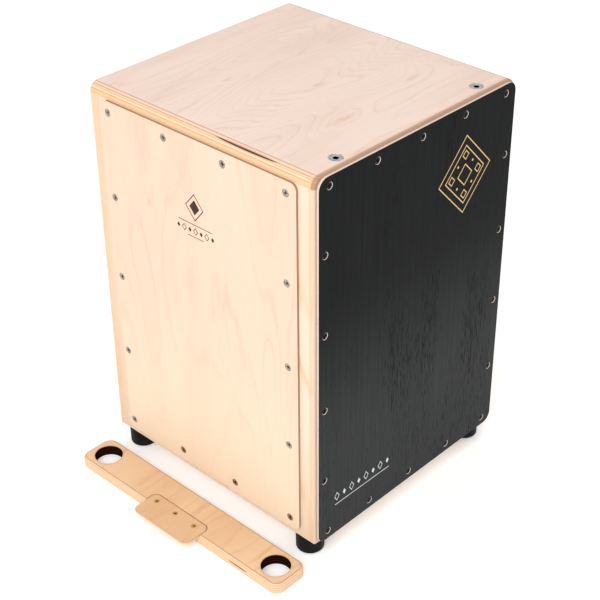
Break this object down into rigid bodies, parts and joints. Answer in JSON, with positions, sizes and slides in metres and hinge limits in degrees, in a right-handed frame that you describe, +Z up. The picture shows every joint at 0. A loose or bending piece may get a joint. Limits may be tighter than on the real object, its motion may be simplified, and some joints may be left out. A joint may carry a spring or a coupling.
{
  "type": "cajon",
  "caption": "Plywood box drum with a screwed front plate, a thin side striking panel, tuned snare strings, rubber feet and a loose bar that holds a bass pedal.",
  "frame": {"origin": "centre of the underside of the whole set on the floor: the drum with its pedal bar beside it", "axes": "+Z up; the front plate faces -Y; the side striking panel and the pedal bar are on the -X side"},
  "size_m": [0.4066, 0.3362, 0.484],
  "materials": {
    "seat_birch": "satin lacquered birch plywood, faint cathedral grain, striped ply edges",
    "body_birch": "satin lacquered birch plywood, upright grain",
    "back_birch": "satin lacquered thin birch plywood",
    "panel_birch": "satin lacquered thin birch plywood with browned cut edges",
    "front_veneer": "black stained open-grain veneer, matt, with pale ply edges",
    "bar_birch": "oiled birch plywood, rounded edges, dark burnt hole walls",
    "tongue_birch": "oiled thin birch plywood",
    "batten_pine": "planed softwood",
    "anchor_beech": "planed beech",
    "foot_rubber": "matt moulded rubber",
    "zinc_screw": "zinc plated, slightly worn",
    "zinc_plate": "zinc plated",
    "dark_screw": "blackened steel",
    "brass_screw": "dulled brass",
    "bolt_steel": "turned stainless steel",
    "carrier_aluminium": "sawn and brushed aluminium",
    "string_steel": "wound steel wire"
  },
  "bodies": {
    "drum": {"seat_board": "seat_birch", "base_board": "body_birch", "left_wall": "body_birch", "right_wall": "body_birch", "back_board": "back_birch", "batten_front_left": "batten_pine", "batten_front_right": "batten_pine", "batten_back_left": "batten_pine", "batten_back_right": "batten_pine", "front_plate": "front_veneer", "front_plate_screws": "dark_screw", "side_panel": "panel_birch", "side_panel_screws": "zinc_screw", "foot_front_left": "foot_rubber", "foot_front_right": "foot_rubber", "foot_back_left": "foot_rubber", "foot_back_right": "foot_rubber", "foot_washers": "zinc_plate", "foot_screws": "zinc_screw", "tuner_bush_left": "zinc_plate", "tuner_bush_right": "zinc_plate", "string_anchor_left": "anchor_beech", "string_anchor_right": "anchor_beech", "string_anchor_screws": "zinc_screw"},
    "left_tuner": {"tuner_bolt_left": "bolt_steel"},
    "left_snare": {"snare_carrier_left": "carrier_aluminium", "snare_strings_left": "string_steel"},
    "right_tuner": {"tuner_bolt_right": "bolt_steel"},
    "right_snare": {"snare_carrier_right": "carrier_aluminium", "snare_strings_right": "string_steel"},
    "bar": {"pedal_bar": "bar_birch", "pedal_plate": "tongue_birch", "pedal_plate_screws": "brass_screw"}
  },
  "joints": [
    {"name": "left_tuner_turn", "type": "hinge", "parent": "drum", "child": "left_tuner", "pos_m": [-0.06625, -0.14525, 0.475], "axis": [0, 0, 1], "range_deg": [-720, 720]},
    {"name": "left_snare_slide", "type": "slide", "parent": "drum", "child": "left_snare", "axis": [0, 0, 1], "range_m": [-0.0025, 0.0025]},
    {"name": "right_tuner_turn", "type": "hinge", "parent": "drum", "child": "right_tuner", "pos_m": [0.15575, -0.14525, 0.475], "axis": [0, 0, 1], "range_deg": [-720, 720]},
    {"name": "right_snare_slide", "type": "slide", "parent": "drum", "child": "right_snare", "axis": [0, 0, 1], "range_m": [-0.0025, 0.0025]},
    {"name": "bar_shift", "type": "slide", "parent": "drum", "child": "bar", "axis": [-1, 0, 0], "range_m": [-0.014, 0.1]}
  ],
  "couplings": [
    {"joint": "left_tuner_turn", "follows": "left_snare_slide", "rad_per_m": -5026.5},
    {"joint": "right_tuner_turn", "follows": "right_snare_slide", "rad_per_m": -5026.5}
  ]
}
